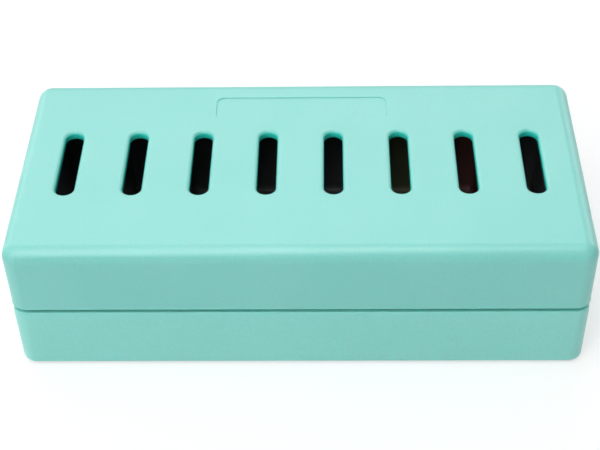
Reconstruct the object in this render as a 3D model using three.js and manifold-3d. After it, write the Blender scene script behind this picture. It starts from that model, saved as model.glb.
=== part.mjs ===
// An oblong storage case: a base and a hinged lid with eight slots, over eight bins that lift out.
// Millimetres, +Z up, the front faces -Y. The origin is on the table, under the middle of the whole case.

import * as THREE from 'three';
import { mergeVertices } from 'three/addons/utils/BufferGeometryUtils.js';
import Module from 'manifold-3d';

const wasm = await Module();
wasm.setup();

// Closed case, measured over the lid
const caseWidth = 140;
const caseDepth = 65.1;
const caseHeight = 38.5;
const cornerRadius = 3.8;
const wall = 2.2;

// Parting gap between base and lid, at half the height
const seamHeight = 19.25;
const seamGap = 0.4;

// Tightest corner that a rounded block shrinks to, seen from above
const leastCorner = 0.2;

// Clearances between pieces that lie against each other, and what a cut overruns
const seatGap = 0.3;
const sideGap = 0.3;
const overrun = 1;

// Lid
const lidPlate = 2.5;
const lidTopRound = 3.6;
const lidLowerRound = 0.5;
const lidInnerRound = 1.6;

// Slots in the lid, one over each bin
const slotCount = 8;
const slotWidth = 4.7;
const slotLength = 23.3;
const slotRimRound = 0.9;

// Bare label place behind the slots
const labelWidth = 44;
const labelDepth = 9;
const labelRound = 2;
const labelSink = 0.3;
const labelGap = 5;

// Shallow grip grooves in the lid's end walls, near the front
const gripRadius = 9;
const gripSink = 0.35;
const gripFront = 14.3;

// Base
const baseProud = 0.1;
const baseFloor = 2.2;
const baseLowerRound = 0.8;
const baseInnerRound = 1.6;
const rimRoundHeight = 3.2;
const rimRoundDepth = 0.4;

// Lip inside the base's mouth, which locates the lid
const lipThickness = 1;
const lipHeight = 2;
const lipRoot = 4;
const lipRound = 0.4;

// Ribs on the base's floor, one between each two bins
const ribThickness = 1;
const ribHeight = 3;
const ribSetback = 4;

// Bins, in a row between the lip's two ends, under the lid
const bankGap = 0.78;
const binHeadroom = 5.8;
const binWall = 1.2;
const binCorner = 2.4;
const binLowerRound = 0.9;
const binInnerRound = 2;
const dipRadius = 6.5;
const dipSink = 3;

// Feet, let into the underside
const footLength = 16;
const footWidth = 7;
const footProud = 0.5;
const footRecess = 0.8;
const footSetback = 4.5;
const footRound = 0.3;

// Hinges on the rear wall
const hingeInset = 26;
const knuckleRadius = 2.7;
const baseKnuckle = 5;
const lidKnuckle = 8;
const pinRadius = 1;
const pinClearance = 0.15;
const pinSetback = 0.3;
const hingeRoot = 1;

// Steps in the roundings
const shellCornerSteps = 8;
const shellEdgeSteps = 6;
const smallEdgeSteps = 2;
const binCornerSteps = 4;
const slotCornerSteps = 5;
const slotEdgeSteps = 4;
const pinSteps = 24;
const dipSteps = 32;
const gripSteps = 96;
const quarterTurn = Math.PI / 2;

// Heights and widths worked out from the sizes above
const lidBottom = seamHeight + seamGap / 2;
const rimTop = seamHeight - seamGap / 2;
const lidCeiling = caseHeight - lidPlate;
const underside = footProud;
const floorTop = underside + baseFloor;
const lipInset = wall + sideGap;
const lipInnerInset = lipInset + lipThickness;
const lipTop = rimTop + lipHeight;
const lipBottom = rimTop - lipRoot;
const slotPitch = (caseWidth - 2 * (lipInnerInset + bankGap)) / slotCount;
const labelY = slotLength / 2 + labelGap + labelDepth / 2;
const binBottom = floorTop + seatGap;
const binTop = lidCeiling - binHeadroom;
const binWidth = slotPitch - ribThickness - 2 * sideGap;
const binDepth = caseDepth - 2 * (lipInnerInset + sideGap);
const hingeX = caseWidth / 2 - hingeInset;
const hingeY = caseDepth / 2 + baseProud + seatGap + knuckleRadius;
const hingeLength = 2 * baseKnuckle + lidKnuckle + 2 * sideGap;
const frontReach = caseDepth / 2 + baseProud;
const rearReach = hingeY + knuckleRadius;

// Points of a rounded rectangle about the origin, counter-clockwise
function roundedRectangle(width, depth, radius, steps) {
  const centreX = width / 2 - radius;
  const centreY = depth / 2 - radius;
  const corners = [[1, 1], [-1, 1], [-1, -1], [1, -1]];
  const points = [];
  corners.forEach(([sideX, sideY], corner) => {
    for (let step = 0; step <= steps; step += 1) {
      const angle = (corner + step / steps) * quarterTurn;
      const x = sideX * centreX + radius * Math.cos(angle);
      const y = sideY * centreY + radius * Math.sin(angle);
      points.push(new THREE.Vector2(x, y));
    }
  });
  return points;
}

// A closed geometry becomes a solid once its shared vertices are merged and empty triangles are left out
function solid(geometry) {
  geometry.deleteAttribute('normal');
  geometry.deleteAttribute('uv');
  const merged = mergeVertices(geometry);
  const vertProperties = new Float32Array(merged.attributes.position.array);
  const corners = [];
  for (let i = 0; i < merged.index.count; i += 3) {
    const triangle = [merged.index.getX(i), merged.index.getX(i + 1), merged.index.getX(i + 2)];
    if (new Set(triangle).size === 3) {
      corners.push(...triangle);
    }
  }
  const triVerts = new Uint32Array(corners);
  return new wasm.Manifold(new wasm.Mesh({ numProp: 3, vertProperties, triVerts }));
}

// A solid through stacked rounded rectangles; each level has a height and how far it grows on every side
function block({ width, depth, radius, steps, levels }) {
  const positions = [];
  const index = [];
  const outlines = levels.map(({ grow }) => {
    const corner = Math.max(radius + grow, leastCorner);
    return roundedRectangle(width + 2 * grow, depth + 2 * grow, corner, steps);
  });
  const count = outlines[0].length;
  outlines.forEach((outline, level) => {
    outline.forEach((point) => positions.push(point.x, point.y, levels[level].z));
  });
  for (let level = 0; level < levels.length - 1; level += 1) {
    for (let i = 0; i < count; i += 1) {
      const here = level * count + i;
      const next = level * count + ((i + 1) % count);
      index.push(here, next, next + count);
      index.push(here, next + count, here + count);
    }
  }
  const last = (levels.length - 1) * count;
  THREE.ShapeUtils.triangulateShape(outlines[0], []).forEach(([a, b, c]) => index.push(a, c, b));
  THREE.ShapeUtils.triangulateShape(outlines[levels.length - 1], []).forEach(([a, b, c]) => {
    index.push(last + a, last + b, last + c);
  });
  const geometry = new THREE.BufferGeometry();
  geometry.setAttribute('position', new THREE.Float32BufferAttribute(positions, 3));
  geometry.setIndex(index);
  return solid(geometry);
}

// Levels of a rounding from an upright wall to a level face. It is convex where out is 1 and flares
// where it is -1; up is 1 where the face is above the wall. Levels always run upwards.
function rounding({ face, height, depth = height, up = 1, out = 1, steps = smallEdgeSteps, grow = 0 }) {
  const levels = [];
  for (let step = 0; step <= steps; step += 1) {
    const angle = (step / steps) * quarterTurn;
    const z = face - up * height * (1 - Math.sin(angle));
    levels.push({ z, grow: grow - out * depth * (1 - Math.cos(angle)) });
  }
  return up > 0 ? levels : levels.reverse();
}

// A box from one corner to the opposite one
function brick(low, high) {
  const size = high.map((value, axis) => value - low[axis]);
  const geometry = new THREE.BoxGeometry(...size);
  geometry.translate(...low.map((value, axis) => value + size[axis] / 2));
  return solid(geometry);
}

// A round bar along X, or along Y or Z, between two places on that axis
function bar(axis, radius, from, to, [first, second], steps) {
  const geometry = new THREE.CylinderGeometry(radius, radius, to - from, steps);
  const middle = (from + to) / 2;
  if (axis === 'x') {
    geometry.rotateZ(-quarterTurn);
    geometry.translate(middle, first, second);
  } else if (axis === 'y') {
    geometry.translate(first, middle, second);
  } else {
    geometry.rotateX(quarterTurn);
    geometry.translate(first, second, middle);
  }
  return solid(geometry);
}

function placeX(index) {
  return (index - (slotCount - 1) / 2) * slotPitch;
}

// Where each hinge's knuckles lie along X: the lid's in the middle, the base's on both sides of it
function knuckleSpans(side) {
  const middle = side * hingeX;
  const inner = lidKnuckle / 2;
  const outer = hingeLength / 2;
  return {
    lid: [[middle - inner, middle + inner]],
    base: [[middle - outer, middle - inner - sideGap], [middle + inner + sideGap, middle + outer]],
  };
}

// Knuckles on the rear wall, each with a web that roots it in the shell, above or below the parting gap
function addKnuckles(shell, owner) {
  const up = owner === 'lid' ? 1 : -1;
  const webNear = seamHeight + (up * seamGap) / 2;
  const webFar = seamHeight + up * knuckleRadius;
  const bottom = Math.min(webNear, webFar);
  const top = Math.max(webNear, webFar);
  let result = shell;
  [-1, 1].forEach((side) => {
    knuckleSpans(side)[owner].forEach(([from, to]) => {
      result = result.add(brick([from, caseDepth / 2 - hingeRoot, bottom], [to, hingeY, top]));
      result = result.add(bar('x', knuckleRadius, from, to, [hingeY, seamHeight], pinSteps));
      const bore = pinRadius + pinClearance;
      const boreFrom = from - overrun;
      result = result.subtract(bar('x', bore, boreFrom, to + overrun, [hingeY, seamHeight], pinSteps));
    });
  });
  return result;
}

const casePlan = { width: caseWidth, depth: caseDepth, radius: cornerRadius, steps: shellCornerSteps };

function slotCutter(index) {
  const levels = [
    { z: lidCeiling - overrun, grow: 0 },
    ...rounding({ face: caseHeight, height: slotRimRound, out: -1, steps: slotEdgeSteps }),
    { z: caseHeight + overrun, grow: slotRimRound },
  ];
  const plan = { width: slotWidth, depth: slotLength, radius: slotWidth / 2, steps: slotCornerSteps };
  return block({ ...plan, levels }).translate([placeX(index), 0, 0]);
}

function makeLid() {
  let shell = block({
    ...casePlan,
    levels: [
      ...rounding({ face: lidBottom, height: lidLowerRound, up: -1 }),
      ...rounding({ face: caseHeight, height: lidTopRound, steps: shellEdgeSteps }),
    ],
  });
  const hollow = block({
    ...casePlan,
    levels: [
      { z: lidBottom - overrun, grow: -wall },
      ...rounding({ face: lidCeiling, height: lidInnerRound, grow: -wall }),
    ],
  });
  shell = shell.subtract(hollow);
  for (let index = 0; index < slotCount; index += 1) {
    shell = shell.subtract(slotCutter(index));
  }
  const label = block({
    width: labelWidth,
    depth: labelDepth,
    radius: labelRound,
    steps: binCornerSteps,
    levels: [{ z: caseHeight - labelSink, grow: 0 }, { z: caseHeight + overrun, grow: 0 }],
  });
  shell = shell.subtract(label.translate([0, labelY, 0]));
  [-1, 1].forEach((side) => {
    const x = side * (caseWidth / 2 + gripRadius - gripSink);
    const y = gripFront - caseDepth / 2;
    const groove = bar('z', gripRadius, lidBottom - overrun, caseHeight + overrun, [x, y], gripSteps);
    shell = shell.subtract(groove);
  });
  return addKnuckles(shell, 'lid');
}

function makeBase() {
  const rim = { face: rimTop, height: rimRoundHeight, depth: rimRoundDepth };
  const outer = block({
    ...casePlan,
    levels: [
      ...rounding({ face: underside, height: baseLowerRound, up: -1, grow: baseProud }),
      ...rounding({ ...rim, steps: shellEdgeSteps, grow: baseProud }),
    ],
  });
  const hollow = block({
    ...casePlan,
    levels: [
      ...rounding({ face: floorTop, height: baseInnerRound, up: -1, grow: -wall }),
      { z: rimTop + overrun, grow: -wall },
    ],
  });
  const lipOuter = block({
    ...casePlan,
    levels: [
      { z: lipBottom, grow: -lipInset },
      ...rounding({ face: lipTop, height: lipRound, grow: -lipInset }),
    ],
  });
  const lipFoot = block({
    ...casePlan,
    levels: [{ z: lipBottom, grow: -wall + baseProud }, { z: rimTop, grow: -wall + baseProud }],
  });
  const lipHollow = block({
    ...casePlan,
    levels: [
      { z: lipBottom - overrun, grow: -lipInnerInset },
      { z: lipTop + overrun, grow: -lipInnerInset },
    ],
  });
  let shell = outer.subtract(hollow).add(lipOuter.add(lipFoot).subtract(lipHollow));
  for (let index = 0; index < slotCount - 1; index += 1) {
    const x = placeX(index) + slotPitch / 2;
    const y = binDepth / 2 - ribSetback;
    const low = [x - ribThickness / 2, -y, underside + baseFloor / 2];
    shell = shell.add(brick(low, [x + ribThickness / 2, y, floorTop + ribHeight]));
  }
  footPlaces().forEach(({ x, y }) => {
    const recess = block({
      ...footPlan,
      levels: [{ z: underside - overrun, grow: sideGap }, { z: underside + footRecess, grow: sideGap }],
    });
    shell = shell.subtract(recess.translate([x, y, 0]));
  });
  return addKnuckles(shell, 'base');
}

// The bin stands on the floor between two ribs; its front and rear walls dip a little for a fingertip
function makeBin(index) {
  const plan = { width: binWidth, depth: binDepth, radius: binCorner, steps: binCornerSteps };
  const outer = block({
    ...plan,
    levels: [...rounding({ face: binBottom, height: binLowerRound, up: -1 }), { z: binTop, grow: 0 }],
  });
  const hollow = block({
    ...plan,
    levels: [
      ...rounding({ face: binBottom + binWall, height: binInnerRound, up: -1, grow: -binWall }),
      { z: binTop + overrun, grow: -binWall },
    ],
  });
  const reach = binDepth / 2 + overrun;
  const dip = bar('y', dipRadius, -reach, reach, [0, binTop + dipRadius - dipSink], dipSteps);
  return outer.subtract(hollow).subtract(dip).translate([placeX(index), 0, 0]);
}

const footPlan = { width: footLength, depth: footWidth, radius: footWidth / 2, steps: binCornerSteps };

function footPlaces() {
  const x = caseWidth / 2 - footSetback - footLength / 2;
  const y = caseDepth / 2 - footSetback - footWidth / 2;
  return [
    { name: 'foot_front_left', x: -x, y: -y },
    { name: 'foot_front_right', x, y: -y },
    { name: 'foot_rear_left', x: -x, y },
    { name: 'foot_rear_right', x, y },
  ];
}

function makeFoot({ x, y }) {
  const top = underside + footRecess - seatGap;
  const levels = [...rounding({ face: 0, height: footRound, up: -1 }), { z: top, grow: 0 }];
  return block({ ...footPlan, levels }).translate([x, y, 0]);
}

function makePin(side) {
  const middle = side * hingeX;
  const reach = hingeLength / 2 - pinSetback;
  return bar('x', pinRadius, middle - reach, middle + reach, [hingeY, seamHeight], pinSteps);
}

// A named mesh from a solid; each has a material of its own
function piece(name, body, { color, roughness, metalness = 0 }) {
  const { vertProperties, triVerts } = body.getMesh();
  const geometry = new THREE.BufferGeometry();
  geometry.setAttribute('position', new THREE.Float32BufferAttribute(vertProperties, 3));
  geometry.setIndex(new THREE.BufferAttribute(new Uint32Array(triVerts), 1));
  geometry.computeVertexNormals();
  const material = new THREE.MeshStandardMaterial({ color, roughness, metalness });
  const mesh = new THREE.Mesh(geometry, material);
  mesh.name = name;
  return mesh;
}

const mintPlastic = { color: '#86ddd4', roughness: 0.35 };
const darkPlastic = { color: '#4a4b4d', roughness: 0.5 };
const olivePlastic = { color: '#70784e', roughness: 0.5 };
const brickPlastic = { color: '#8c4e4a', roughness: 0.5 };
const silicone = { color: '#c9cdc9', roughness: 0.75 };
const steel = { color: '#b9bcbf', roughness: 0.3, metalness: 1 };
const binFinishes = { 5: olivePlastic, 6: brickPlastic };

const lensCase = new THREE.Group();
lensCase.position.y = (frontReach - rearReach) / 2;
lensCase.add(piece('base_shell', makeBase(), mintPlastic));
lensCase.add(piece('lid_shell', makeLid(), mintPlastic));
for (let index = 0; index < slotCount; index += 1) {
  lensCase.add(piece(`bin_${index + 1}`, makeBin(index), binFinishes[index] ?? darkPlastic));
}
footPlaces().forEach((place) => {
  lensCase.add(piece(place.name, makeFoot(place), silicone));
});
lensCase.add(piece('hinge_pin_left', makePin(-1), steel));
lensCase.add(piece('hinge_pin_right', makePin(1), steel));

export default lensCase;
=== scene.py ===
# Looks of an eight-slot hinged storage case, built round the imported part.
# Metres, +Z up, the front faces -Y. The origin is on the table, under the middle of the whole case.
import math

import bmesh
import bpy
from mathutils import Matrix, Vector


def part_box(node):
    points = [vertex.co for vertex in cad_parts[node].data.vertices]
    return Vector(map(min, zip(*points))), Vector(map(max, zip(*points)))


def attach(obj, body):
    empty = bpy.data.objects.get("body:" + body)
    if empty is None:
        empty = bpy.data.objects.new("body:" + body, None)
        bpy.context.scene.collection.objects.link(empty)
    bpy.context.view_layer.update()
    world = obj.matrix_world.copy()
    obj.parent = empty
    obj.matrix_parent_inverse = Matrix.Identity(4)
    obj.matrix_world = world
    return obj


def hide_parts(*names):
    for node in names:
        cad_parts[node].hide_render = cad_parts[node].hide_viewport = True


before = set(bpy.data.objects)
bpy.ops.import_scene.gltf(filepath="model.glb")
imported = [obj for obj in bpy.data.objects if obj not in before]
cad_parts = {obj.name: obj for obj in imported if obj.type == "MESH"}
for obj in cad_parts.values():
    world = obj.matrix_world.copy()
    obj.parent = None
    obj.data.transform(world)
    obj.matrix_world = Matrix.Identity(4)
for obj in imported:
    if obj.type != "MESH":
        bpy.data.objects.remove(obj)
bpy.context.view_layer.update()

# Sizes taken from the frame
lid_low, lid_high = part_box("lid_shell")
base_low, base_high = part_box("base_shell")
bin_low, bin_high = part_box("bin_1")
next_bin_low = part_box("bin_2")[0]
foot_low, foot_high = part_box("foot_rear_right")
pin_low, pin_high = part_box("hinge_pin_right")

CASE_WIDTH = lid_high.x - lid_low.x
CENTRE_Y = (bin_low.y + bin_high.y) / 2
CASE_DEPTH = 2 * (CENTRE_Y - lid_low.y)
CASE_TOP = lid_high.z
SEAM_Z = (pin_low.z + pin_high.z) / 2
HINGE_Y = (pin_low.y + pin_high.y) / 2
HINGE_X = (pin_low.x + pin_high.x) / 2
UNDERSIDE = base_low.z
BASE_PROUD = (base_high.x - base_low.x - CASE_WIDTH) / 2
BIN_PITCH = next_bin_low.x - bin_low.x
PIN_RADIUS = (pin_high.z - pin_low.z) / 2
KNUCKLE_RADIUS = base_high.z - SEAM_Z

# Shells
CORNER_RADIUS = 0.0038
LEAST_CORNER = 0.0002
WALL = 0.0022
SEAM_GAP = 0.0008
CLEARANCE = 0.0003
OVERRUN = 0.001
LID_BOTTOM = SEAM_Z + SEAM_GAP / 2
RIM_TOP = SEAM_Z - SEAM_GAP

# Lid
LID_PLATE = 0.0025
LID_TOP_ROUND = 0.0036
LID_LOWER_ROUND = 0.0003
LID_BEAD = 0.00008
LID_INNER_ROUND = 0.0016
LID_MOUTH_ROUND = 0.0003
SLOT_COUNT = 8
SLOT_WIDTH = 0.0047
SLOT_LENGTH = 0.0233
SLOT_RIM_ROUND = 0.0009
SLOT_INNER_ROUND = 0.0008
LABEL_WIDTH = 0.044
LABEL_DEPTH = 0.009
LABEL_RADIUS = 0.002
LABEL_SINK = 0.0003
LABEL_ROUND = 0.00014
LABEL_GAP = 0.005
GRIP_RADIUS = 0.009
GRIP_SINK = 0.00035
GRIP_FRONT = 0.0143
GRIP_REACH = 0.004
LID_CEILING = CASE_TOP - LID_PLATE

# Base
BASE_FLOOR = 0.0022
BASE_LOWER_ROUND = 0.0008
BASE_INNER_ROUND = 0.0016
RIM_ROUND_HEIGHT = 0.0022
RIM_ROUND_DEPTH = 0.0004
LIP_INSET = WALL + CLEARANCE
LIP_THICKNESS = 0.001
LIP_HEIGHT = 0.002
LIP_ROOT = 0.004
LIP_ROUND = 0.0004
RIB_THICKNESS = 0.001
RIB_HEIGHT = 0.003
RIB_SETBACK = 0.004
RIB_ROUND = 0.00035
FOOT_RECESS = 0.0008
FOOT_ROUND = 0.0003
FOOT_CHANNEL = 0.0007
FOOT_CHANNEL_SINK = 0.00025
FLOOR_TOP = UNDERSIDE + BASE_FLOOR

# Bins
BIN_WALL = 0.0012
BIN_CORNER = 0.0024
BIN_LOWER_ROUND = 0.0009
BIN_INNER_ROUND = 0.002
BIN_RIM_ROUND = 0.0004
DIP_SINK = 0.003
DIP_REACH = 0.0049
DIP_START_SHARE = 0.5
DIP_BLEND_SHARE = 0.125

# Hinges
BASE_KNUCKLE = 0.005
LID_KNUCKLE = 0.008
PIN_CLEARANCE = 0.00015
PIN_ROUND = 0.0002
HINGE_ROOT = 0.001
KNUCKLE_BEVEL = 0.00025
BEVEL_SEGMENTS = 3

# Steps in the roundings
CORNER_STEPS = 20
EDGE_STEPS = 14
SMALL_STEPS = 5
ROUND_STEPS = 64
QUARTER_TURN = math.pi / 2

# How a surface's edges are told from its roundings, and how strongly large faces lead the shading
SHARP_ANGLE = math.radians(38)
FACE_WEIGHT = 90

# Moulded plastic: the sizes and depths of its patterns, and the ranges that they are mapped between
PLASTIC_IOR = 1.58
PLASTIC_SCATTER_SHARES = (0.35, 1.0, 0.9)
PLASTIC_SCATTER_DEPTH = 0.0012
CLOUD_SIZE = 0.03
CLOUD_RANGE = (0.35, 0.65)
NOISE_RANGE = (0.3, 0.7)
GRAIN_SIZE = 0.00035
GRAIN_TONES = (0.955, 1.045)
PATCH_SIZE = 0.012
ROUGHNESS_DROP = 0.03
ROUGHNESS_RISE = 0.04
WAVE_SIZE = 0.045
WAVE_DEPTH = 0.00025
TOOTH_SIZE = 0.0004
TOOTH_DEPTH = 0.000012

# Stray specks: one place for each cell of their spacing, of which about half hold a speck
SPECK_SPACING = 0.02
SPECK_RADIUS_SHARES = (0.006, 0.011)
SPECK_TONES = (0.7, 0.0)
SPECK_CHANCES = (0.5, 0.51)

# Painted glow on the slot walls, a saturated mint that stands in for light shining through the plastic:
# where it fades below the lid's top and above its ceiling
LIT_WALL_FULL = 0.0007
LIT_WALL_END = 0.0002
LIT_WALL_RISE = 0.0004

# Silicone rubber
RUBBER_SCATTER_WEIGHT = 0.2
RUBBER_SCATTER_DEPTH = 0.001
BLOOM_SIZE = 0.002
BLOOM_RANGE = (0.4, 0.7)
RUBBER_ROUGHNESS = (0.62, 0.8)
RUBBER_TOOTH_SIZE = 0.0003
RUBBER_TOOTH_DEPTH = 0.00002

# Drawn steel
RING_SIZE = 0.0004
RING_STRETCH = (1.0, 0.05, 0.05)
RING_DEPTH = 0.000006
STEEL_ROUGHNESS = (0.24, 0.36)

# The standard curve from screen values to light
SCREEN_WHITE = 255
SCREEN_KNEE = 0.04045
SCREEN_SLOPE = 12.92
SCREEN_OFFSET = 0.055
SCREEN_POWER = 2.4

# Places of the sockets of a mix node for colours
MIX_SHARE = 0
MIX_FIRST = 6
MIX_SECOND = 7
MIX_RESULT = 2

# Camera of the photograph, found by fitting the case's edges and slots
CAMERA_PLACE = Vector((0.00716, -0.25534, 0.25731))
CAMERA_DOWN = 0.76111
CAMERA_TURN = -0.0302
CAMERA_ROLL = -0.0249
CAMERA_LENS = 80.72
CAMERA_NEAR = 0.01
SENSOR_WIDTH = 36.0

# Studio
WHITE = (1.0, 1.0, 1.0, 1.0)
TABLE_REACH = 4.0
TABLE_COLOUR = (0.94, 0.94, 0.94, 1.0)
TABLE_ROUGHNESS = 0.9
TABLE_GLOW_SHARE = 0.5
SKY_STRENGTH = 0.06
LAMP_TARGET = (0.0, 0.0, 0.03)

# Soft lamps: how bright the face looks, where 1 is white, its width and height, its place and its target
SOFTBOXES = {
    "overhead softbox": (4.4, (0.46, 1.0), (-0.14, -0.42, 0.78), (-0.06, -0.27, 0.03)),
    "rear softbox": (2.4, (1.2, 0.6), (-0.15, 1.0, 1.0), LAMP_TARGET),
    "front softbox": (2.1, (0.8, 0.6), (-0.85, -0.85, 0.5), (0.0, 0.0, 0.02)),
    "ceiling softbox": (1.2, (0.9, 0.5), (-0.1, 0.3, 1.05), LAMP_TARGET),
    "left softbox": (3.5, (0.35, 0.35), (-0.75, -0.1, 0.7), LAMP_TARGET),
    "right softbox": (1.0, (0.3, 0.3), (0.75, -0.1, 0.7), LAMP_TARGET),
    "rear left softbox": (1.6, (0.7, 0.55), (-0.8, 0.7, 0.36), LAMP_TARGET),
    "rear right softbox": (1.6, (0.7, 0.55), (0.8, 0.7, 0.36), LAMP_TARGET),
}

case_plan = {
    "width": CASE_WIDTH,
    "depth": CASE_DEPTH,
    "radius": CORNER_RADIUS,
    "steps": CORNER_STEPS,
}
foot_plan = {
    "width": foot_high.x - foot_low.x,
    "depth": foot_high.y - foot_low.y,
    "radius": (foot_high.y - foot_low.y) / 2,
    "steps": CORNER_STEPS,
}
bin_places = [bin_low.x + (bin_high.x - bin_low.x) / 2 + i * BIN_PITCH for i in range(SLOT_COUNT)]
grip_y = GRIP_FRONT - CASE_DEPTH / 2
foot_names = ["foot_front_left", "foot_front_right", "foot_rear_left", "foot_rear_right"]
foot_places = {}
for foot_name in foot_names:
    low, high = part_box(foot_name)
    foot_places[foot_name] = ((low.x + high.x) / 2, (low.y + high.y) / 2)


def spread(middle, reach, steps):
    """Evenly spaced places from one reach before the middle to one reach past it."""
    return [middle + reach * (2 * i / steps - 1) for i in range(steps + 1)]


def outline(plan, grow):
    """Points of a plan's rounded rectangle, grown on every side, counter-clockwise from its right side."""
    radius = max(plan["radius"] + grow, LEAST_CORNER)
    half_x = plan["width"] / 2 + grow
    half_y = plan["depth"] / 2 + grow
    across = plan.get("across", [])
    along = plan.get("along", [])
    sides = [
        [(x, half_y) for x in reversed(across)],
        [(-half_x, y) for y in reversed(along)],
        [(x, -half_y) for x in across],
        [(half_x, y) for y in along],
    ]
    points = []
    for corner, (side_x, side_y) in enumerate([(1, 1), (-1, 1), (-1, -1), (1, -1)]):
        middle_x = side_x * (half_x - radius)
        middle_y = side_y * (half_y - radius)
        for step in range(plan["steps"] + 1):
            angle = (corner + step / plan["steps"]) * QUARTER_TURN
            points.append((middle_x + radius * math.cos(angle), middle_y + radius * math.sin(angle)))
        points += sides[corner]
    return points


def quarter(start, end, upright, steps=SMALL_STEPS):
    """Levels of a quarter round, as pairs of growth and height. It leaves its start upright or level."""
    levels = []
    for step in range(steps + 1):
        angle = step / steps * QUARTER_TURN
        level_share = 1 - math.cos(angle) if upright else math.sin(angle)
        upright_share = math.sin(angle) if upright else 1 - math.cos(angle)
        grow = start[0] + (end[0] - start[0]) * level_share
        z = start[1] + (end[1] - start[1]) * upright_share
        levels.append((grow, z))
    return levels


def keep_place(x, y, z, grow):
    """Leaves a point where it is."""
    return x, y, z


def rings_of(plan, levels, bend=keep_place):
    """A ring of points for each level of a plan; bend may shift each point."""
    rings = []
    for grow, z in levels:
        rings.append([bend(x, y, z, grow) for x, y in outline(plan, grow)])
    return rings


def loft(name, stacks):
    """One mesh object of closed bodies, each through a stack of rings, with a flat face at both ends."""
    work = bmesh.new()
    for rings in stacks:
        placed = [[work.verts.new(point) for point in ring] for ring in rings]
        count = len(placed[0])
        for lower, upper in zip(placed, placed[1:]):
            for i in range(count):
                after = (i + 1) % count
                work.faces.new((lower[i], lower[after], upper[after], upper[i]))
        work.faces.new(list(reversed(placed[0])))
        work.faces.new(placed[-1])
    bmesh.ops.recalc_face_normals(work, faces=work.faces)
    mesh = bpy.data.meshes.new(name)
    work.to_mesh(mesh)
    work.free()
    piece = bpy.data.objects.new(name, mesh)
    bpy.context.scene.collection.objects.link(piece)
    return piece


def moved(rings, dx=0.0, dy=0.0, dz=0.0):
    """The same rings at another place."""
    return [[(x + dx, y + dy, z + dz) for x, y, z in ring] for ring in rings]


def bake_modifiers(piece):
    """Turns what the piece's modifiers make into its own mesh."""
    graph = bpy.context.evaluated_depsgraph_get()
    mesh = bpy.data.meshes.new_from_object(piece.evaluated_get(graph))
    worn_out = piece.data
    piece.modifiers.clear()
    piece.data = mesh
    bpy.data.meshes.remove(worn_out)


def combine(piece, tool, operation):
    """Joins a tool body to the piece, or cuts it away, and removes the tool."""
    modifier = piece.modifiers.new("combine", "BOOLEAN")
    modifier.operation = operation
    modifier.solver = "MANIFOLD"
    modifier.object = tool
    bake_modifiers(piece)
    spent = tool.data
    bpy.data.objects.remove(tool)
    bpy.data.meshes.remove(spent)


def smooth(piece):
    """Smooth roundings between crisp edges, with large flat faces shaded flat."""
    for polygon in piece.data.polygons:
        polygon.use_smooth = True
    piece.data.set_sharp_from_angle(angle=SHARP_ANGLE)
    modifier = piece.modifiers.new("flat faces lead", "WEIGHTED_NORMAL")
    modifier.keep_sharp = True
    modifier.weight = FACE_WEIGHT


def rod_rings(radius, low_x, high_x, round_size):
    """Rings of a round rod along X with rounded ends."""
    levels = quarter((-round_size, low_x), (0.0, low_x + round_size), upright=False)
    levels += quarter((0.0, high_x - round_size), (-round_size, high_x), upright=True)
    rings = []
    for grow, x in levels:
        ring = []
        for step in range(ROUND_STEPS):
            angle = step / ROUND_STEPS * 2 * math.pi
            ring.append((x, (radius + grow) * math.cos(angle), (radius + grow) * math.sin(angle)))
        rings.append(ring)
    return rings


def knuckle_profile(side):
    """Pairs of Y and Z round a knuckle and the web that roots it; side is 1 for the lid, -1 for the base."""
    reach = HINGE_Y - CENTRE_Y - CASE_DEPTH / 2 + HINGE_ROOT
    low = SEAM_GAP / 2
    last_angle = -math.pi - math.asin(low / KNUCKLE_RADIUS)
    profile = [(-reach, side * low), (-reach, side * KNUCKLE_RADIUS)]
    for step in range(ROUND_STEPS + 1):
        angle = QUARTER_TURN + (last_angle - QUARTER_TURN) * step / ROUND_STEPS
        profile.append((KNUCKLE_RADIUS * math.cos(angle), side * KNUCKLE_RADIUS * math.sin(angle)))
    return profile


def add_knuckles(shell, side):
    """Joins the knuckles of the lid or of the base to its shell, with bores for the pins."""
    inner = LID_KNUCKLE / 2
    outer = inner + CLEARANCE + BASE_KNUCKLE
    spans = [(-inner, inner)] if side > 0 else [(-outer, -inner - CLEARANCE), (inner + CLEARANCE, outer)]
    profile = knuckle_profile(side)
    bore_reach = outer + OVERRUN
    bodies = []
    bores = []
    for hinge_x in (-HINGE_X, HINGE_X):
        for low, high in spans:
            ends = (hinge_x + low, hinge_x + high)
            bodies.append([[(x, HINGE_Y + y, SEAM_Z + z) for y, z in profile] for x in ends])
        bore = rod_rings(PIN_RADIUS + PIN_CLEARANCE, hinge_x - bore_reach, hinge_x + bore_reach, PIN_ROUND)
        bores.append(moved(bore, dy=HINGE_Y, dz=SEAM_Z))
    knuckles = loft("knuckles", bodies)
    modifier = knuckles.modifiers.new("soft edges", "BEVEL")
    modifier.width = KNUCKLE_BEVEL
    modifier.segments = BEVEL_SEGMENTS
    modifier.limit_method = "ANGLE"
    modifier.angle_limit = SHARP_ANGLE
    bake_modifiers(knuckles)
    combine(shell, knuckles, "UNION")
    combine(shell, loft("bores", bores), "DIFFERENCE")


def grip_bend(x, y, z, grow):
    """Draws the lid's end walls in at the grip grooves; points inside the lid stay."""
    if grow <= -LID_TOP_ROUND or abs(y - grip_y) > GRIP_REACH:
        return x, y, z
    limit = CASE_WIDTH / 2 + GRIP_RADIUS - GRIP_SINK - math.sqrt(GRIP_RADIUS**2 - (y - grip_y) ** 2)
    return math.copysign(min(abs(x), limit), x), y, z


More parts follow.
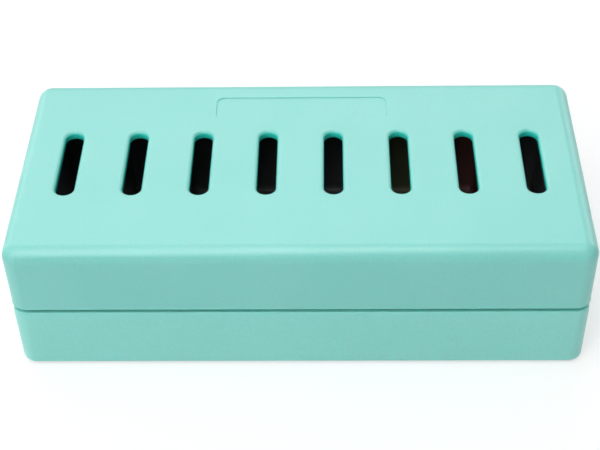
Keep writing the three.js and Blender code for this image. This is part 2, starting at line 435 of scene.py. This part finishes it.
def slot_rings():
    """Rings of the tool that cuts one slot, with a soft rim outside and a smaller one inside."""
    plan = {"width": SLOT_WIDTH, "depth": SLOT_LENGTH, "radius": SLOT_WIDTH / 2, "steps": CORNER_STEPS}
    throat_low = (0.0, LID_CEILING + SLOT_INNER_ROUND)
    throat_high = (0.0, CASE_TOP - SLOT_RIM_ROUND)
    levels = [(SLOT_INNER_ROUND, LID_CEILING - OVERRUN)]
    levels += quarter((SLOT_INNER_ROUND, LID_CEILING), throat_low, upright=False, steps=EDGE_STEPS)
    levels += quarter(throat_high, (SLOT_RIM_ROUND, CASE_TOP), upright=True, steps=EDGE_STEPS)
    levels += [(SLOT_RIM_ROUND, CASE_TOP + OVERRUN)]
    return rings_of(plan, levels)


def label_rings():
    """Rings of the tool that sinks the bare label place."""
    plan = {"width": LABEL_WIDTH, "depth": LABEL_DEPTH, "radius": LABEL_RADIUS, "steps": CORNER_STEPS}
    floor = CASE_TOP - LABEL_SINK
    levels = quarter((-LABEL_ROUND, floor), (0.0, floor + LABEL_ROUND), upright=False)
    levels += quarter((0.0, CASE_TOP - LABEL_ROUND), (LABEL_ROUND, CASE_TOP), upright=True)
    levels += [(LABEL_ROUND, CASE_TOP + OVERRUN)]
    return rings_of(plan, levels)


def lid_rings():
    """Rings of the lid without its slots: up through its inside in reverse, then up its outside."""
    plan = {**case_plan, "along": spread(grip_y, GRIP_REACH, EDGE_STEPS)}
    ceiling_edge = (-WALL - LID_INNER_ROUND, LID_CEILING)
    mouth_edge = (LID_MOUTH_ROUND - WALL, LID_BOTTOM)
    inner = quarter(ceiling_edge, (-WALL, LID_CEILING - LID_INNER_ROUND), upright=False)
    inner += quarter((-WALL, LID_BOTTOM + LID_MOUTH_ROUND), mouth_edge, upright=True)
    bead_low = (LID_BEAD, LID_BOTTOM + LID_LOWER_ROUND)
    bead_high = (LID_BEAD, LID_BOTTOM + 2 * LID_LOWER_ROUND)
    wall_high = (0.0, CASE_TOP - LID_TOP_ROUND)
    outer = quarter((-LID_LOWER_ROUND, LID_BOTTOM), bead_low, upright=False)
    outer += quarter(bead_high, (0.0, bead_high[1] + LID_BEAD), upright=True)
    outer += quarter(wall_high, (-LID_TOP_ROUND, CASE_TOP), upright=True, steps=EDGE_STEPS)
    return rings_of(plan, inner) + rings_of(plan, outer, grip_bend)


def make_lid():
    """The lid: a shallow cup upside down, with eight slots, a bare label place and grip grooves."""
    lid = loft("lid_moulding", [moved(lid_rings(), dy=CENTRE_Y)])
    slot = slot_rings()
    combine(lid, loft("slots", [moved(slot, dx=x, dy=CENTRE_Y) for x in bin_places]), "DIFFERENCE")
    label_y = CENTRE_Y + SLOT_LENGTH / 2 + LABEL_GAP + LABEL_DEPTH / 2
    combine(lid, loft("label", [moved(label_rings(), dy=label_y)]), "DIFFERENCE")
    add_knuckles(lid, 1)
    return lid


def base_rings():
    """Rings of the base without its ribs: up its inside, over its lip and rim, and down its outside."""
    floor_edge = (-WALL - BASE_INNER_ROUND, FLOOR_TOP)
    lip_inner = -LIP_INSET - LIP_THICKNESS
    lip_top = RIM_TOP + LIP_HEIGHT
    lip_bottom = RIM_TOP - LIP_ROOT
    levels = quarter(floor_edge, (-WALL, FLOOR_TOP + BASE_INNER_ROUND), upright=False)
    levels += [(-WALL, lip_bottom), (lip_inner, lip_bottom)]
    levels += quarter((lip_inner, lip_top - LIP_ROUND), (lip_inner + LIP_ROUND, lip_top), upright=True)
    levels += quarter((-LIP_INSET - LIP_ROUND, lip_top), (-LIP_INSET, lip_top - LIP_ROUND), upright=False)
    levels += [(-LIP_INSET, RIM_TOP)]
    rim_edge = (BASE_PROUD - RIM_ROUND_DEPTH, RIM_TOP)
    levels += quarter(rim_edge, (BASE_PROUD, RIM_TOP - RIM_ROUND_HEIGHT), upright=False, steps=EDGE_STEPS)
    wall_low = (BASE_PROUD, UNDERSIDE + BASE_LOWER_ROUND)
    levels += quarter(wall_low, (BASE_PROUD - BASE_LOWER_ROUND, UNDERSIDE), upright=True, steps=EDGE_STEPS)
    return rings_of(case_plan, levels)


def rib_rings():
    """Rings of one low rib that keeps two bins apart."""
    length = bin_high.y - bin_low.y - 2 * RIB_SETBACK
    plan = {"width": RIB_THICKNESS, "depth": length, "radius": RIB_ROUND, "steps": SMALL_STEPS}
    top = FLOOR_TOP + RIB_HEIGHT
    levels = [(0.0, FLOOR_TOP - BASE_FLOOR / 2)]
    levels += quarter((0.0, top - RIB_ROUND), (-RIB_ROUND, top), upright=True)
    return rings_of(plan, levels)


def make_base():
    """The base: a tray with a locating lip, ribs between the bins and recesses for the feet."""
    base = loft("base_moulding", [moved(base_rings(), dy=CENTRE_Y)])
    rib = rib_rings()
    gaps = [x + BIN_PITCH / 2 for x in bin_places[:-1]]
    combine(base, loft("ribs", [moved(rib, dx=x, dy=CENTRE_Y) for x in gaps]), "UNION")
    recess = rings_of(foot_plan, [(CLEARANCE, UNDERSIDE - OVERRUN), (CLEARANCE, UNDERSIDE + FOOT_RECESS)])
    recesses = [moved(recess, dx=x, dy=y) for x, y in foot_places.values()]
    combine(base, loft("recesses", recesses), "DIFFERENCE")
    add_knuckles(base, -1)
    return base


def dip_bend(x, y, z, grow):
    """Lets the front and rear walls of a bin dip smoothly for a fingertip, near the rim only."""
    height_share = (z - FLOOR_TOP - CLEARANCE) / (bin_high.z - FLOOR_TOP - CLEARANCE)
    if height_share < DIP_START_SHARE or abs(x) > DIP_REACH:
        return x, y, z
    width_share = (math.cos(x / DIP_REACH * math.pi) + 1) / 2
    depth_share = min(1.0, (height_share - DIP_START_SHARE) / DIP_BLEND_SHARE)
    return x, y, z - DIP_SINK * width_share * depth_share


def make_bin(index):
    """One open bin, which stands on the base's floor between two ribs."""
    plan = {
        "width": bin_high.x - bin_low.x,
        "depth": bin_high.y - bin_low.y,
        "radius": BIN_CORNER,
        "steps": SMALL_STEPS * 2,
        "across": spread(0.0, DIP_REACH, CORNER_STEPS),
    }
    top = bin_high.z
    floor_edge = (-BIN_WALL - BIN_INNER_ROUND, bin_low.z + BIN_WALL)
    wall_low = (-BIN_WALL, bin_low.z + BIN_WALL + BIN_INNER_ROUND)
    levels = quarter((-BIN_LOWER_ROUND, bin_low.z), (0.0, bin_low.z + BIN_LOWER_ROUND), upright=False)
    levels += quarter((0.0, top - BIN_RIM_ROUND), (-BIN_RIM_ROUND, top), upright=True)
    levels += quarter((BIN_RIM_ROUND - BIN_WALL, top), (-BIN_WALL, top - BIN_RIM_ROUND), upright=False)
    levels += quarter(wall_low, floor_edge, upright=True)
    rings = rings_of(plan, levels, dip_bend)
    return loft(f"bin_{index + 1}_moulding", [moved(rings, dx=bin_places[index], dy=CENTRE_Y)])


def make_foot(name):
    """A soft pad with a shallow moulded channel round its sole."""
    channel_low = (-2 * FOOT_CHANNEL, foot_low.z + FOOT_CHANNEL_SINK)
    levels = [(-3 * FOOT_CHANNEL, foot_low.z)]
    levels += quarter(channel_low, (-FOOT_CHANNEL, foot_low.z), upright=False)
    levels += quarter((-FOOT_ROUND, foot_low.z), (0.0, foot_low.z + FOOT_ROUND), upright=False)
    levels += [(0.0, foot_high.z)]
    x, y = foot_places[name]
    return loft(f"{name}_pad", [moved(rings_of(foot_plan, levels), dx=x, dy=y)])


def make_pin(name):
    """A hinge pin with rounded ends."""
    low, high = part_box(name)
    rings = rod_rings(PIN_RADIUS, low.x, high.x, PIN_ROUND)
    return loft(f"{name}_rod", [moved(rings, dy=HINGE_Y, dz=SEAM_Z)])


class Shading:
    """A shader tree, with short calls that add a node and join it to others."""

    def __init__(self, tree):
        self.tree = tree

    def node(self, kind, inputs=None, **settings):
        """Adds a node; each input is a value or another node's output."""
        made = self.tree.nodes.new(kind)
        for key, value in settings.items():
            setattr(made, key, value)
        for key, value in (inputs or {}).items():
            if isinstance(value, bpy.types.NodeSocket):
                self.tree.links.new(value, made.inputs[key])
            else:
                made.inputs[key].default_value = value
        return made

    def maths(self, operation, *values):
        """Works out one value from others."""
        return self.node("ShaderNodeMath", dict(enumerate(values)), operation=operation).outputs["Value"]

    def ranged(self, value, source, target=(0.0, 1.0)):
        """Maps a value from one range to another, and keeps it inside."""
        inputs = {
            "Value": value,
            "From Min": source[0],
            "From Max": source[1],
            "To Min": target[0],
            "To Max": target[1],
        }
        return self.node("ShaderNodeMapRange", inputs).outputs["Result"]

    def blend(self, share, first, second, mode="MIX"):
        """Mixes a colour with another colour or with a grey."""
        inputs = {MIX_SHARE: share, MIX_FIRST: first, MIX_SECOND: second}
        return self.node("ShaderNodeMix", inputs, data_type="RGBA", blend_type=mode).outputs[MIX_RESULT]

    def shown_white(self, hidden, white, white_share=1.0):
        """Mixes white into a shader for the camera, for reflections and for rays through glass."""
        path = self.node("ShaderNodeLightPath").outputs
        seen = path["Is Camera Ray"]
        for ray in ("Is Glossy Ray", "Is Transmission Ray"):
            seen = self.maths("MAXIMUM", seen, path[ray])
        share = self.maths("MULTIPLY", seen, white_share)
        return self.node("ShaderNodeMixShader", {0: share, 1: hidden, 2: white}).outputs["Shader"]


class Finish(Shading):
    """A material whose patterns keep to the piece's own space."""

    def __init__(self, name, **values):
        self.material = bpy.data.materials.new(name)
        self.material.use_nodes = True
        super().__init__(self.material.node_tree)
        self.shader = self.tree.nodes["Principled BSDF"]
        for key, value in values.items():
            self.shader.inputs[key.replace("_", " ")].default_value = value
        self.place = self.node("ShaderNodeTexCoord").outputs["Object"]

    def noise(self, size, detail=2.0, stretch=None):
        """Noise whose lumps have about this size in metres; stretch makes them longer along an axis."""
        place = self.place
        if stretch:
            place = self.node("ShaderNodeMapping", {"Vector": place, "Scale": stretch}).outputs["Vector"]
        inputs = {"Vector": place, "Scale": 1 / size, "Detail": detail}
        return self.node("ShaderNodeTexNoise", inputs).outputs["Fac"]

    def bumps(self, layers):
        """Bumps on bumps: pairs of a height and the depth in metres that it stands for."""
        normal = None
        for height, depth in layers:
            inputs = {"Height": height, "Strength": 1.0, "Distance": depth}
            if normal:
                inputs["Normal"] = normal
            normal = self.node("ShaderNodeBump", inputs).outputs["Normal"]
        self.set("Normal", normal)

    def set(self, socket, value):
        """Joins a value that varies over the surface to one of the shader's sockets."""
        self.tree.links.new(value, self.shader.inputs[socket])


def colour(red, green, blue):
    """A shader colour from the usual 0 to 255 screen values."""
    linear = []
    for value in (red, green, blue):
        share = value / SCREEN_WHITE
        if share <= SCREEN_KNEE:
            linear.append(share / SCREEN_SLOPE)
        else:
            linear.append(((share + SCREEN_OFFSET) / (1 + SCREEN_OFFSET)) ** SCREEN_POWER)
    return (*linear, 1.0)


def stray_specks(finish):
    """Is above 0 on a few tiny specks, and 0 elsewhere."""
    cells = finish.node("ShaderNodeTexVoronoi", {"Vector": finish.place, "Scale": 1 / SPECK_SPACING}).outputs
    chance = finish.node("ShaderNodeSeparateColor", {"Color": cells["Color"]}).outputs["Red"]
    spot = finish.ranged(cells["Distance"], SPECK_RADIUS_SHARES, SPECK_TONES)
    return finish.maths("MULTIPLY", spot, finish.ranged(chance, SPECK_CHANCES))


def painted_slot_glow(finish):
    """Is 1 on the walls of the lid's slots, where a painted glow stands in for light shining through the
    plastic, and 0 elsewhere.
    """
    place = finish.node("ShaderNodeSeparateXYZ", {"Vector": finish.place}).outputs
    from_middle = finish.maths("SUBTRACT", place["Y"], CENTRE_Y)
    shares = [
        finish.ranged(place["Z"], (CASE_TOP - LIT_WALL_FULL, CASE_TOP - LIT_WALL_END), (1.0, 0.0)),
        finish.ranged(place["Z"], (LID_CEILING, LID_CEILING + LIT_WALL_RISE)),
    ]
    for value, reach in ((place["X"], bin_places[-1]), (from_middle, SLOT_LENGTH / 2)):
        distance = finish.maths("ABSOLUTE", value)
        shares.append(finish.ranged(distance, (reach + SLOT_WIDTH / 2, reach + SLOT_WIDTH), (1.0, 0.0)))
    share = shares[0]
    for other in shares[1:]:
        share = finish.maths("MULTIPLY", share, other)
    return share


def moulded_plastic(name, main, cloudy, roughness, speck=None, glow=0.0, through=None):
    """Satin moulded plastic: cloudy tone, fine grain in tone and surface, slight waves, stray specks."""
    finish = Finish(
        name,
        IOR=PLASTIC_IOR,
        Subsurface_Weight=glow,
        Subsurface_Radius=PLASTIC_SCATTER_SHARES,
        Subsurface_Scale=PLASTIC_SCATTER_DEPTH,
    )
    clouds = finish.ranged(finish.noise(CLOUD_SIZE, detail=1.0), CLOUD_RANGE)
    tone = finish.blend(clouds, main, cloudy)
    grain = finish.noise(GRAIN_SIZE, detail=3.0)
    tone = finish.blend(1.0, tone, finish.ranged(grain, NOISE_RANGE, GRAIN_TONES), mode="MULTIPLY")
    if speck:
        tone = finish.blend(stray_specks(finish), tone, speck)
    # painted glow: the slot walls get a saturated mint that stands in for light shining through the plastic
    if through:
        tone = finish.blend(painted_slot_glow(finish), tone, through)
    finish.set("Base Color", tone)
    patches = finish.noise(PATCH_SIZE, detail=4.0)
    roughnesses = (roughness - ROUGHNESS_DROP, roughness + ROUGHNESS_RISE)
    finish.set("Roughness", finish.ranged(patches, NOISE_RANGE, roughnesses))
    waves = finish.noise(WAVE_SIZE, detail=0.0)
    tooth = finish.noise(TOOTH_SIZE, detail=2.0)
    finish.bumps([(waves, WAVE_DEPTH), (tooth, TOOTH_DEPTH)])
    return finish.material


def silicone_rubber(name, main, dusty):
    """Matt soft rubber with a dusty bloom."""
    finish = Finish(name, Subsurface_Weight=RUBBER_SCATTER_WEIGHT, Subsurface_Scale=RUBBER_SCATTER_DEPTH)
    bloom = finish.ranged(finish.noise(BLOOM_SIZE, detail=5.0), BLOOM_RANGE)
    finish.set("Base Color", finish.blend(bloom, main, dusty))
    finish.set("Roughness", finish.ranged(bloom, (0.0, 1.0), RUBBER_ROUGHNESS))
    finish.bumps([(finish.noise(RUBBER_TOOTH_SIZE, detail=3.0), RUBBER_TOOTH_DEPTH)])
    return finish.material


def drawn_steel(name, main, dull):
    """Drawn steel wire with fine rings and a little dullness."""
    finish = Finish(name, Metallic=1.0)
    rings = finish.noise(RING_SIZE, detail=4.0, stretch=RING_STRETCH)
    finish.set("Base Color", finish.blend(finish.ranged(rings, NOISE_RANGE), main, dull))
    finish.set("Roughness", finish.ranged(rings, NOISE_RANGE, STEEL_ROUGHNESS))
    finish.bumps([(rings, RING_DEPTH)])
    return finish.material


def dress(piece, material, body, slot, *nodes):
    """Gives a piece its finish, its shading and its body, and hides the nodes that it stands for."""
    piece.data.materials.clear()
    piece.data.materials.append(material)
    smooth(piece)
    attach(piece, body)
    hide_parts(*nodes)


def make_camera():
    """The photograph's camera, from its place, its turns and its lens."""
    forward = Vector((
        math.sin(CAMERA_TURN) * math.cos(CAMERA_DOWN),
        math.cos(CAMERA_TURN) * math.cos(CAMERA_DOWN),
        -math.sin(CAMERA_DOWN),
    ))
    level = Vector((math.cos(CAMERA_TURN), -math.sin(CAMERA_TURN), 0.0))
    upright = level.cross(forward)
    right = math.cos(CAMERA_ROLL) * level + math.sin(CAMERA_ROLL) * upright
    up = math.cos(CAMERA_ROLL) * upright - math.sin(CAMERA_ROLL) * level
    data = bpy.data.cameras.new("camera")
    data.sensor_width = SENSOR_WIDTH
    data.lens = CAMERA_LENS
    data.clip_start = CAMERA_NEAR
    camera = bpy.data.objects.new("camera", data)
    axes = Matrix((right, up, -forward)).transposed()
    camera.matrix_world = Matrix.Translation(CAMERA_PLACE) @ axes.to_4x4()
    bpy.context.scene.collection.objects.link(camera)
    bpy.context.scene.camera = camera


def make_world():
    """A sky that is dim as a light and shows white."""
    world = bpy.data.worlds.new("studio")
    world.use_nodes = True
    sky = Shading(world.node_tree)
    dim = sky.tree.nodes["Background"]
    dim.inputs["Color"].default_value = WHITE
    dim.inputs["Strength"].default_value = SKY_STRENGTH
    white = sky.node("ShaderNodeBackground", {"Color": WHITE})
    shown = sky.shown_white(dim.outputs["Background"], white.outputs["Background"])
    sky.tree.links.new(shown, sky.tree.nodes["World Output"].inputs["Surface"])
    bpy.context.scene.world = world


def make_floor():
    """The white table, which shows part white and part lit, so that the case's shadow stays on it."""
    mesh = bpy.data.meshes.new("floor")
    corners = [(x * TABLE_REACH, y * TABLE_REACH, 0) for x, y in ((-1, -1), (1, -1), (1, 1), (-1, 1))]
    mesh.from_pydata(corners, [], [(0, 1, 2, 3)])
    floor = bpy.data.objects.new("floor", mesh)
    bpy.context.scene.collection.objects.link(floor)
    finish = Finish("white table", Base_Color=TABLE_COLOUR, Roughness=TABLE_ROUGHNESS)
    white = finish.node("ShaderNodeEmission", {"Color": WHITE})
    shown = finish.shown_white(finish.shader.outputs["BSDF"], white.outputs["Emission"], TABLE_GLOW_SHARE)
    finish.tree.links.new(shown, finish.tree.nodes["Material Output"].inputs["Surface"])
    mesh.materials.append(finish.material)


def make_softbox(name, radiance, size, place, target):
    """A soft rectangular lamp that faces its target."""
    width, height = size
    data = bpy.data.lights.new(name, "AREA")
    data.shape = "RECTANGLE"
    data.size = width
    data.size_y = height
    data.energy = radiance * math.pi * width * height
    lamp = bpy.data.objects.new(name, data)
    lamp.location = place
    lamp.rotation_euler = (Vector(target) - Vector(place)).to_track_quat("-Z", "Y").to_euler()
    bpy.context.scene.collection.objects.link(lamp)


mint_lid = moulded_plastic(
    "mint plastic of the lid",
    main=colour(120, 197, 189),
    cloudy=colour(117, 195, 187),
    roughness=0.33,
    speck=colour(60, 120, 112),
    glow=0.5,
    # painted glow of light shining through the slot walls
    through=colour(52, 214, 199),
)
# The base's mint is a little lighter than the lid's: painted light, standing in for the bounce from the
# white table below.
mint_base_painted_lighter = moulded_plastic(
    "mint plastic of the base",
    main=colour(130, 206, 197),
    cloudy=colour(127, 204, 195),
    roughness=0.33,
    speck=colour(70, 125, 118),
    glow=0.5,
)
dark = moulded_plastic("dark plastic", colour(100, 101, 103), colour(104, 105, 107), roughness=0.46)
olive = moulded_plastic("olive plastic", colour(116, 123, 92), colour(113, 120, 90), roughness=0.44)
brick = moulded_plastic("brick plastic", colour(134, 90, 87), colour(130, 88, 85), roughness=0.44)
rubber = silicone_rubber("silicone rubber", main=colour(196, 201, 197), dusty=colour(208, 211, 207))
steel = drawn_steel("drawn steel", main=colour(190, 192, 195), dull=colour(165, 168, 172))

dress(make_lid(), mint_lid, "lid", "mint_plastic", "lid_shell")
dress(make_base(), mint_base_painted_lighter, "base", "mint_plastic", "base_shell")
tinted_bins = {"bin_6": (olive, "olive_plastic"), "bin_7": (brick, "brick_plastic")}
for index in range(SLOT_COUNT):
    bin_name = f"bin_{index + 1}"
    material, slot_name = tinted_bins.get(bin_name, (dark, "dark_plastic"))
    dress(make_bin(index), material, "base", slot_name, bin_name)
for foot_name in foot_names:
    dress(make_foot(foot_name), rubber, "base", "silicone", foot_name)
for pin_name in ("hinge_pin_left", "hinge_pin_right"):
    dress(make_pin(pin_name), steel, "base", "pin_steel", pin_name)

make_camera()
make_world()
make_floor()
for lamp_name, lamp_values in SOFTBOXES.items():
    make_softbox(lamp_name, *lamp_values)
bpy.context.scene.view_settings.view_transform = "Standard"
